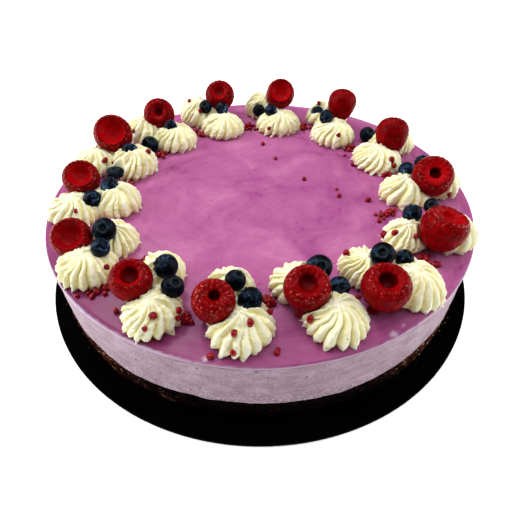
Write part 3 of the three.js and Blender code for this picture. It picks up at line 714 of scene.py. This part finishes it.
# Painted light and shade: crests are painted near white and grooves a faint yellow-green, by how far out on a
# pleat each point lies.
crest_light = add_node(tree, "ShaderNodeAttribute", attribute_name="crest")
height = add_node(tree, "ShaderNodeMath", {0: clouds.outputs["Fac"], 1: crest_light.outputs["Fac"]},
                  operation="ADD")
lit = add_node(tree, "ShaderNodeMath", {0: height.outputs[0], 1: 0.62}, operation="MULTIPLY")
lit_and_shaded_ivory = add_node(tree, "ShaderNodeValToRGB", {"Fac": lit.outputs[0]},
                 [[0.25, "#ebe19b"], [0.6, "#f6eeb5"], [0.95, "#fdf9dc"]])
specked = with_specks(tree, place, lit_and_shaded_ivory.outputs["Color"], "#6b5a45", 3.6, (0.06, 0.1), 0.8)
stain = add_node(tree, "ShaderNodeAttribute", attribute_name="juice")
blushed = add_node(tree, "ShaderNodeMix", {"Factor": stain.outputs["Fac"], 6: specked, 7: linear("#c9565c")},
                   data_type="RGBA")
bubbles = add_node(tree, "ShaderNodeTexNoise", {"Vector": place, "Scale": 1 / (0.7 * MM), "Detail": 3.0})
airy = add_node(tree, "ShaderNodeBump", {"Height": bubbles.outputs["Fac"], "Strength": 0.3,
                                         "Distance": 0.2 * MM})
end_material(tree, Base_Color=blushed.outputs[2], Normal=airy.outputs["Normal"], Roughness=0.5,
             Specular_IOR_Level=0.3, Subsurface_Weight=0.4, Subsurface_Radius=(1.0, 0.9, 0.6),
             Subsurface_Scale=2.2 * MM)


def join_meshes(name, meshes):
    """One mesh of several closed ones."""
    points, faces, count = [], [], 0
    for mesh in meshes:
        points += [vertex.co.copy() for vertex in mesh.vertices]
        faces += [[count + corner for corner in face.vertices] for face in mesh.polygons]
        count += len(mesh.vertices)
    joined = bpy.data.meshes.new(name)
    joined.from_pydata(points, [], faces)
    joined.polygons.foreach_set("use_smooth", [True] * len(faces))
    return joined


CREAM_BITS = []  # seeds of the dried raspberry on the cream, which grow_lumps turns to bits further on
SUNK = 0.97  # share of the dollop's radius at which the middle of a bit lies
piping = np.random.default_rng(11)
for index, serving in enumerate(SERVINGS):
    halves, crest_light_shares = [], []
    for which, (reach_in, bearing, radius, *taller) in enumerate((serving["inner"], serving["outer"])):
        tall = (taller + [DOLLOP_H])[0] * piping.uniform(0.96, 1.04)
        foot = at(reach_in, bearing)
        rings, low, peak, outer = dollop(foot, 0.97 * radius, tall, piping)
        shape = rings.shape
        bedded = press_in(np.vstack([rings.reshape(-1, 3), peak]), CAKE_TOP + 0.1)
        halves.append(ring_mesh("half", bedded[:-1].reshape(shape), low, bedded[-1]))
        crest_light_shares += [*outer.ravel(), 0, 1]
        for _, direction, share in [bit for bit in serving["bits"] if bit[0] == which]:
            turn = math.radians(direction)
            out_to = SUNK * (radius * np.interp(share, *np.transpose(OUTLINE)[::-1]))
            CREAM_BITS.append([foot[0] + out_to * math.cos(turn), foot[1] + out_to * math.sin(turn),
                               CAKE_TOP + share * tall, piping.uniform(1.9, 2.5)])
    pair = join_meshes(f"piped_cream_{index + 1:02d}", halves)
    # How far out on a pleat each point lies, from which the cream's colour paints light on the crests and
    # shade in the grooves.
    mark(pair, "crest", crest_light_shares)
    red = juice(points_of(pair), 0.8)
    mark(pair, "juice", np.clip(0.5 * red - 0.05, 0, 0.45))
    add_piece(pair, cream, "cream", f"cream_pair_{index + 1:02d}")

# ---------------------------------------------------------------- raspberries
# Fresh raspberries: plump drupelets in rings round the hollow that their core has left, so ripe and wet that
# they almost melt into one skin. Those in front lie with the hollow up, most at the back with it forward.

# Rows of [radius over the width, height over the full height], from the closed end up the side.
BERRY_SIDE = [[0.0, -0.5], [0.15, -0.485], [0.28, -0.41], [0.4, -0.24], [0.47, -0.02], [0.485, 0.15]]
DRUPELET = 0.125  # spacing of the drupelets over the width
RELIEF = 0.019  # how far a drupelet swells out over the width
BERRY_STEPS = 96  # points round a raspberry
BRIM = 0.42  # where the hollow's depth is counted from, over the full height


def leaned(points, tilt, bearing, place_of):
    """Turns points about a level axis, towards a bearing, and moves them into place."""
    turn = math.radians(bearing)
    spin = Matrix.Rotation(math.radians(tilt), 3, Vector((-math.sin(turn), math.cos(turn), 0)))
    return np.asarray(points) @ np.array(spin).T + np.asarray(place_of)


def raspberry_skin(width, tall, crest, opening, depth, dice):
    """An upright raspberry's rings, how far each point swells, and the rows of its crest and hollow's edge.

    Crest and opening are radii over the width, and depth is over the height.
    """
    # The narrower the crest, the rounder the shoulder below it: plump is 0 at the widest crest, 1 at 0.2.
    plump = (0.36 - crest) / 0.16
    rim = [[0.46 - 0.015 * plump, 0.31 - 0.02 * plump], [0.405 - 0.06 * plump, 0.43 - 0.02 * plump],
           [crest, 0.478], [0.5 * (crest + opening) + 0.01, 0.46], [opening + 0.01, 0.41]]
    inner = [[0.82 * opening, BRIM - 0.5 * depth], [0.55 * opening, BRIM - 0.88 * depth],
             [0.0, BRIM - depth]]
    scale = np.array([width, tall])
    outline = smooth_line(BERRY_SIDE + rim + inner, 62)[1:-1] * scale
    rings = turned(outline, around(BERRY_STEPS))
    # Drupelets sit in rows up the skin, as far as the hollow's edge, each between two of the row below.
    line = smooth_line(BERRY_SIDE + rim, 300) * scale
    along = np.concatenate([[0], np.cumsum(np.linalg.norm(np.diff(line, axis=0), axis=1))])
    rows = round(along[-1] / (DRUPELET * width * 0.87))
    seeds = []
    for row in range(rows + 1):
        wide, high = (np.interp(along[-1] * row / rows, along, line[:, axis]) for axis in (0, 1))
        count = max(1, round(2 * math.pi * wide / (DRUPELET * width)))
        for step in range(count):
            angle = (step + 0.5 * (row % 2) + dice.uniform(-0.14, 0.14)) * 2 * math.pi / count
            lifted = high + dice.uniform(-0.01, 0.01) * width
            seeds.append([wide * math.cos(angle), wide * math.sin(angle), lifted])
    nearest = np.linalg.norm(rings.reshape(-1, 1, 3) - np.array(seeds)[None], axis=2).min(1)
    apart = nearest / (0.62 * DRUPELET * width)
    swell = np.clip(1 - apart ** 2, 0, 1).reshape(rings.shape[:2])
    slope = np.gradient(outline, axis=0)
    outward = np.stack([slope[:, 1], -slope[:, 0]], 1) / np.linalg.norm(slope, axis=1)[:, None]
    push = RELIEF * width * (swell - 0.6)
    rings[:, :, 0] += push * outward[:, :1] * np.cos(around(BERRY_STEPS))
    rings[:, :, 1] += push * outward[:, :1] * np.sin(around(BERRY_STEPS))
    rings[:, :, 2] += push * outward[:, 1:2]
    crest_row = int(np.argmax(outline[:, 1]))
    edge_row = crest_row + int(np.argmax(outline[crest_row:, 0] < opening * width))
    return rings, swell, crest_row, edge_row


# Raspberry: translucent deep red under a wet skin, with painted shade between the drupelets and painted light
# and shade in the hollow. Its gloss breaks into small pale arcs along the drupelets round the rim, also
# painted into its colour as painted highlights.
raspberry, tree, place = start_material("wet_raspberry")
patches = add_node(tree, "ShaderNodeTexNoise", {"Vector": place, "Scale": 1 / (4 * MM), "Detail": 3.0})
reds = add_node(tree, "ShaderNodeValToRGB", {"Fac": patches.outputs["Fac"]},
                [[0.3, "#620104"], [0.5, "#7c0206"], [0.72, "#940309"]])
swollen = add_node(tree, "ShaderNodeAttribute", attribute_name="swell")
# Painted shade: darker red in the creases between the drupelets.
crease_shade = add_node(tree, "ShaderNodeMapRange", {"Value": swollen.outputs["Fac"], "From Min": 0.1,
                                                "From Max": 0.6, "To Min": 0.35, "To Max": 0.0})
crease_shaded = add_node(tree, "ShaderNodeMix", {"Factor": crease_shade.outputs[0], 6: reds.outputs["Color"],
                                           7: linear("#5a0105")}, data_type="RGBA")
# Painted light and shade in the hollow: below 0 the red is painted darker, above 0 brighter.
hollow_light_and_shade = add_node(tree, "ShaderNodeAttribute", attribute_name="hollow")
hollow_floor_shade = add_node(tree, "ShaderNodeMapRange", {"Value": hollow_light_and_shade.outputs["Fac"], "From Min": -1.0,
                                               "From Max": 0.0, "To Min": 1.0, "To Max": 0.0})
two_reds = add_node(tree, "ShaderNodeMix", {"Factor": hollow_light_and_shade.outputs["Fac"], 6: crease_shaded.outputs[2],
                                            7: linear("#b2040c")}, data_type="RGBA")
lit_and_shaded_red = add_node(tree, "ShaderNodeMix", {"Factor": hollow_floor_shade.outputs[0], 6: two_reds.outputs[2],
                                            7: linear("#3c0102")}, data_type="RGBA")
# Painted highlights: pale arcs on the drupelets near the rim, painted into the colour and also given more
# gloss.
upper = add_node(tree, "ShaderNodeAttribute", attribute_name="upper")
edge = add_node(tree, "ShaderNodeValToRGB", {"Fac": swollen.outputs["Fac"]},
                [[0.28, "#000000"], [0.4, "#ffffff"], [0.52, "#ffffff"], [0.64, "#000000"]])
broken = add_node(tree, "ShaderNodeTexNoise", {"Vector": place, "Scale": 1 / (1.1 * MM), "Detail": 2.0})
kept = add_node(tree, "ShaderNodeValToRGB", {"Fac": broken.outputs["Fac"]},
                [[0.53, "#000000"], [0.61, "#ffffff"]])
arc = add_node(tree, "ShaderNodeMath", {0: edge.outputs["Color"], 1: kept.outputs["Color"]},
               operation="MULTIPLY")
painted_highlight = add_node(tree, "ShaderNodeMath", {0: arc.outputs[0], 1: upper.outputs["Fac"]}, operation="MULTIPLY")
highlighted = add_node(tree, "ShaderNodeMix", {"Factor": painted_highlight.outputs[0], 6: lit_and_shaded_red.outputs[2],
                                           7: linear("#cc4a40")}, data_type="RGBA")
gloss = add_node(tree, "ShaderNodeMapRange", {"Value": painted_highlight.outputs[0], "To Min": 0.03, "To Max": 0.6})
wrinkle = add_node(tree, "ShaderNodeTexNoise", {"Vector": place, "Scale": 1 / (0.9 * MM), "Detail": 3.0})
wet = add_node(tree, "ShaderNodeBump", {"Height": wrinkle.outputs["Fac"], "Strength": 0.5,
                                        "Distance": 0.3 * MM})
end_material(tree, Base_Color=highlighted.outputs[2], Normal=wet.outputs["Normal"], Roughness=0.25,
             Specular_IOR_Level=gloss.outputs[0], Subsurface_Weight=0.15, Subsurface_Radius=(1.0, 0.06, 0.04),
             Subsurface_Scale=1.5 * MM)

# A row for each raspberry: [radius of the rim's crest and of the hollow over the width, the hollow's depth
# over the height, the painted light and shade of the dish inside the crest and of the hollow's floor, from -1
# (painted shade) to 1 (painted light), and how many rings of the skin outside the crest bear painted
# highlights].
HOLLOWS = [
    [0.3, 0.13, 0.32, 0.1, -0.2, 7], [0.34, 0.2, 0.2, 0.1, -0.2, 3], [0.31, 0.18, 0.28, 0.3, -0.45, 1.5],
    [0.36, 0.24, 0.16, 1, 0.8, 3], [0.34, 0.14, 0.24, 0.9, -0.25, 1.5], [0.19, 0.1, 0.08, 0, 0, 0.8],
    [0.18, 0.1, 0.08, 0, 0, 0.4], [0.36, 0.3, 0.09, 1, 0.9, 0.4], [0.3, 0.18, 0.12, 0.5, 0.2, 0.4],
    [0.28, 0.13, 0.12, 0.1, -0.15, 0.4], [0.36, 0.28, 0.12, 1, 0.9, 1.5], [0.35, 0.26, 0.16, 1, 0.8, 2],
    [0.36, 0.29, 0.16, 0.4, 0.3, 2], [0.33, 0.21, 0.24, 0.6, -0.1, 1.5],
]
picking = np.random.default_rng(7)
for index, (x, y, z, width, _) in enumerate(RASPBERRIES):
    tilt, toward = SERVINGS[index]["lean"]
    tall = width * (SERVINGS[index]["raspberry"] + [RASPBERRY_TALL])[4]
    crest, opening, depth, dish_light, floor_shading, highlight_rings = HOLLOWS[index]
    rings, swell, crest_row, edge_row = raspberry_skin(width, tall, crest, opening, depth, picking)
    shape = rings.shape
    rings = leaned(rings.reshape(-1, 3), tilt, toward, [x, y, z])
    ends = leaned([[0, 0, -0.5 * tall], [0, 0, (BRIM - depth) * tall]], tilt, toward, [x, y, z])
    berry = ring_mesh(f"ripe_raspberry_{index + 1:02d}", rings.reshape(shape), ends[0], ends[1])
    mark(berry, "swell", [*swell.ravel(), 1, 0])
    # The painted light and shade pass from the dish inside the crest to the hollow's floor over a few rings
    # of points.
    row_of = np.repeat(np.arange(shape[0]), shape[1])
    sunk = np.clip((row_of - edge_row + 2) / 4, 0, 1)
    dished = dish_light * np.clip((row_of - crest_row) / 4, 0, 1) * (1 - sunk)
    mark(berry, "hollow", [*(dished + floor_shading * sunk), 0, floor_shading])
    # Where the painted highlights go: a band of rings just outside the crest.
    highlight_band = np.exp(-((row_of - crest_row + 1.5 + 0.5 * highlight_rings) / (0.6 + highlight_rings)) ** 2) * min(1, highlight_rings)
    mark(berry, "upper", [*highlight_band, 0, 0])
    add_piece(berry, raspberry, "raspberry", f"raspberry_{index + 1:02d}")

# ---------------------------------------------------------------- blueberries
# Fresh blueberries: round, near-black blue skins under a rubbed bloom of pale wax. The dried crown of five
# lobes stands round a dimple at the flower end. One lies squashed on the purple top.

# Rows of [radius over the half width, height over the full height], from the stalk end into the dimple.
BLUE_SKIN = [[0.0, -0.5], [0.4, -0.465], [0.74, -0.34], [0.96, -0.12], [0.99, 0.08], [0.88, 0.26],
             [0.66, 0.4], [0.5, 0.45], [0.43, 0.485], [0.38, 0.5], [0.32, 0.44], [0.24, 0.38], [0.1, 0.36]]
BLUE_STEPS = 40  # points round a blueberry
LOBES = 5
CROWN_AT = 0.4  # radius of the crown's ring over the half width
GOLDEN, GOLDEN_TURN = 0.618, 137.5  # share and degrees from each berry to the next, so that none repeats

# Blueberry skin: blue-black, the wax bloom a paler slate blue in rubbed patches, so gloss shows only between.
blueberry, tree, place = start_material("bloomed_blueberry_skin")
rubbed = add_node(tree, "ShaderNodeTexNoise", {"Vector": place, "Scale": 1 / (3.6 * MM), "Detail": 6.0,
                                               "Roughness": 0.7, "Distortion": 0.8})
rub = add_node(tree, "ShaderNodeAttribute", attribute_name="rub")
waxed = add_node(tree, "ShaderNodeMath", {0: rubbed.outputs["Fac"], 1: rub.outputs["Fac"]}, operation="ADD")
bloom = add_node(tree, "ShaderNodeValToRGB", {"Fac": waxed.outputs[0]},
                 [[0.4, "#010207"], [0.51, "#060d19"], [0.59, "#192f48"], [0.66, "#46698a"],
                  [0.76, "#8aa6bd"]])
crown_mark = add_node(tree, "ShaderNodeAttribute", attribute_name="crown")
crowned = add_node(tree, "ShaderNodeMix", {"Factor": crown_mark.outputs["Fac"], 6: bloom.outputs["Color"],
                                           7: linear("#2a3438")}, data_type="RGBA")
waxy = add_node(tree, "ShaderNodeMapRange", {"Value": rubbed.outputs["Fac"], "From Min": 0.35,
                                             "From Max": 0.75, "To Min": 0.28, "To Max": 0.6})
skin_fine = add_node(tree, "ShaderNodeTexNoise", {"Vector": place, "Scale": 1 / (0.8 * MM), "Detail": 2.0})
dull = add_node(tree, "ShaderNodeBump", {"Height": skin_fine.outputs["Fac"], "Strength": 0.25,
                                         "Distance": 0.15 * MM})
end_material(tree, Base_Color=crowned.outputs[2], Normal=dull.outputs["Normal"], Roughness=waxy.outputs[0],
             Specular_IOR_Level=0.06)

for index, (x, y, z, width, tallness) in enumerate(BLUEBERRIES):
    tilt, toward = (LEANING[index] or [25 + 70 * ((index * GOLDEN) % 1), GOLDEN_TURN * index])[:2]
    tall = width * tallness
    outline = smooth_line(BLUE_SKIN, 34)[1:-1] * [width / 2, tall]
    angles = around(BLUE_STEPS)
    rings = turned(outline, angles)
    lobes = np.cos(LOBES * angles)
    share = np.hypot(rings[:, :, 0], rings[:, :, 1]) / (width / 2)
    on_crown = np.exp(-((share - CROWN_AT) / 0.08) ** 2) * (rings[:, :, 2] > 0.4 * tall)
    rings[:, :, 2] += on_crown * lobes * 0.025 * width
    creases = [[rough(point / width * 3 + index, 1.0) for point in ring] for ring in rings]
    stretch = 1 + on_crown * lobes * 0.16 + 0.035 * np.array(creases) * (1 - on_crown)
    rings[:, :, 0] *= stretch * (1 + 0.03 * math.sin(7 * index))
    rings[:, :, 1] *= stretch
    shape = rings.shape
    ends = leaned([[0, 0, -tall / 2], [0, 0, 0.36 * tall]], tilt, toward, [x, y, z])
    rings = leaned(rings.reshape(-1, 3), tilt, toward, [x, y, z]).reshape(shape)
    skin_of = ring_mesh(f"blueberry_skin_{index + 1:02d}", rings, ends[0], ends[1])
    mark(skin_of, "crown", np.concatenate([np.clip(on_crown.ravel() * 1.3, 0, 1), [0, 0.6]]))
    mark(skin_of, "rub", [0.1 * ((index * GOLDEN) % 1) - 0.05] * len(skin_of.vertices))
    add_piece(skin_of, blueberry, "blueberry", f"blueberry_{index + 1:02d}")

# ---------------------------------------------------------------- crushed dried raspberry
# Freeze-dried raspberry, crushed by hand and scattered last: single drupelets and shards of 1 to 4 mm, bright
# crimson and crisp, in small heaps between the servings and here and there on the cream and the open top.

# Rows of [reach, bearing, number of bits, how far they may lie from the middle of the heap].
SCATTERED = [
    [58.4, 86, 1, 0], [40, 72, 1, 0], [32, 21.5, 1, 0], [49, 0, 1, 0], [50, -8.7, 1, 0], [67.4, -10.4, 1, 0],
    [70, 24, 1, 0], [73, 34, 1, 0], [118, -125, 1, 0], [124, -100.4, 1, 0], [119.7, -87.4, 2, 1.3],
    [114.5, -134.5, 28, 8.5], [98.3, -121.5, 5, 2.5], [107.5, -109, 14, 4], [86, -133, 6, 5],
    [92, -87.5, 18, 6], [102.4, -80, 7, 3.5], [111, -62.4, 6, 2.5], [88, -50, 7, 3], [106.5, -36.5, 5, 2.5],
    [113, -37.3, 5, 2.5], [79.2, -20, 26, 7], [94, -22, 8, 4], [84, 9, 9, 4.5], [82, 37, 10, 4],
    [90, 66, 22, 6.5], [83.5, 94.5, 30, 7], [86, 120, 10, 5], [80, 147, 7, 5], [84, 175, 5, 4],
]


def scattered_bits():
    """Seeds of the bits on the purple top: dense in the middle of a heap, where they lie on each other."""
    dice = np.random.default_rng(21)
    seeds = []
    for reach_in, bearing, count, spread in SCATTERED:
        for step in range(count):
            # The first few of a heap are whole drupelets, and the others are shards.
            size = dice.uniform(1.5, 2.3) if step < 3 + 0.3 * count else dice.uniform(0.5, 1.6)
            away = np.clip(dice.normal(0, 0.45 * spread, 2), -spread, spread) if spread else np.zeros(2)
            heaped = 3.2 * dice.uniform() * math.exp(-np.hypot(*away) / 3) if count > 6 else 0
            seeds.append([*(at(reach_in, bearing) + [*away, 0.35 * size + heaped]), size])
    return seeds


# Dried raspberry: dry crimson skins, paler at the broken edges, with a dull gloss.
dried, tree, place = start_material("freeze_dried_raspberry")
mottle = add_node(tree, "ShaderNodeTexNoise", {"Vector": place, "Scale": 1 / (1.4 * MM), "Detail": 3.0})
crimson = add_node(tree, "ShaderNodeValToRGB", {"Fac": mottle.outputs["Fac"]},
                   [[0.35, "#66000a"], [0.55, "#960214"], [0.75, "#c00a28"]])
chipped = add_node(tree, "ShaderNodeBump", {"Height": mottle.outputs["Fac"], "Strength": 0.5,
                                            "Distance": 0.3 * MM})
end_material(tree, Base_Color=crimson.outputs["Color"], Normal=chipped.outputs["Normal"], Roughness=0.25,
             Specular_IOR_Level=0.25, Subsurface_Weight=0.25, Subsurface_Radius=(1.0, 0.15, 0.2),
             Subsurface_Scale=1.0 * MM)

for name, seeds in (("crushed_raspberry_on_top", scattered_bits()),
                    ("crushed_raspberry_on_cream", CREAM_BITS)):
    bits = grow_lumps(name, seeds, dried, Unevenness=0.9, Slimmest=0.62, Detail=2, Seed=9)
    add_piece(bits, None, "raspberry")

# ---------------------------------------------------------------- floor, light and camera
# A pale seamless floor under soft studio light, and a camera that looks down on the front of the cake.

floor_paint, tree, place = start_material("pale_studio_paper")
fleece = add_node(tree, "ShaderNodeTexNoise", {"Vector": place, "Scale": 1 / (2 * MM), "Detail": 2.0})
pale = add_node(tree, "ShaderNodeValToRGB", {"Fac": fleece.outputs["Fac"]},
                [[0.0, "#fafafa"], [1.0, "#ffffff"]])
end_material(tree, Base_Color=pale.outputs["Color"], Roughness=0.9, Specular_IOR_Level=0.1,
             Emission_Color=(1.0, 1.0, 1.0, 1.0), Emission_Strength=0.6)
floor_mesh = bpy.data.meshes.new("floor")
FLOOR_Z = -0.0005  # in metres, as are the lights and the camera
corners = [(-4, -4, FLOOR_Z), (4, -4, FLOOR_Z), (4, 4, FLOOR_Z), (-4, 4, FLOOR_Z)]
floor_mesh.from_pydata(corners, [], [(0, 1, 2, 3)])
floor_mesh.materials.append(floor_paint)
floor = bpy.data.objects.new("floor", floor_mesh)
bpy.context.scene.collection.objects.link(floor)
floor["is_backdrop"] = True


def soft_box(name, place_of, width, power):
    """A square area light that faces the cake, in metres and watts."""
    lamp = bpy.data.lights.new(name, "AREA")
    lamp.size = width
    lamp.energy = power
    holder = bpy.data.objects.new(name, lamp)
    holder.location = place_of
    holder.rotation_euler = (Vector((0, 0, 0.04)) - Vector(place_of)).to_track_quat("-Z", "Y").to_euler()
    bpy.context.scene.collection.objects.link(holder)


soft_box("overhead_soft_box", (0.0, 0.15, 1.2), 1.2, 9.3)
soft_box("left_window", (-1.0, 0.1, 0.5), 0.8, 10.6)
soft_box("right_window", (0.9, 0.0, 0.4), 0.6, 4.7)
soft_box("back_left_lamp", (-0.35, 0.5, 0.9), 0.2, 3.0)

studio = bpy.data.worlds.new("studio")
bpy.context.scene.world = studio
studio.use_nodes = True
studio.node_tree.nodes["Background"].inputs["Color"].default_value = (1.0, 1.0, 1.0, 1.0)
studio.node_tree.nodes["Background"].inputs["Strength"].default_value = 0.09
bpy.context.scene.view_settings.view_transform = "Standard"

LOOK_DOWN, ROLL = math.radians(43.722), math.radians(-0.722)
LENS, SENSOR = 29.77, 36.0
EYE = (-0.00314, -0.2193, 0.2033)
back = Vector((0, -math.cos(LOOK_DOWN), math.sin(LOOK_DOWN)))
up = Vector((0, math.sin(LOOK_DOWN), math.cos(LOOK_DOWN)))
side = Vector((1, 0, 0))
camera = bpy.data.objects.new("camera", bpy.data.cameras.new("camera"))
camera.data.lens = LENS
camera.data.sensor_width = SENSOR
camera.data.clip_start, camera.data.clip_end = 0.01, 20.0
axes = [math.cos(ROLL) * side + math.sin(ROLL) * up, math.cos(ROLL) * up - math.sin(ROLL) * side, back]
camera.matrix_world = Matrix.Translation(EYE) @ Matrix(axes).transposed().to_4x4()
bpy.context.scene.collection.objects.link(camera)
bpy.context.scene.camera = camera

low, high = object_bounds()
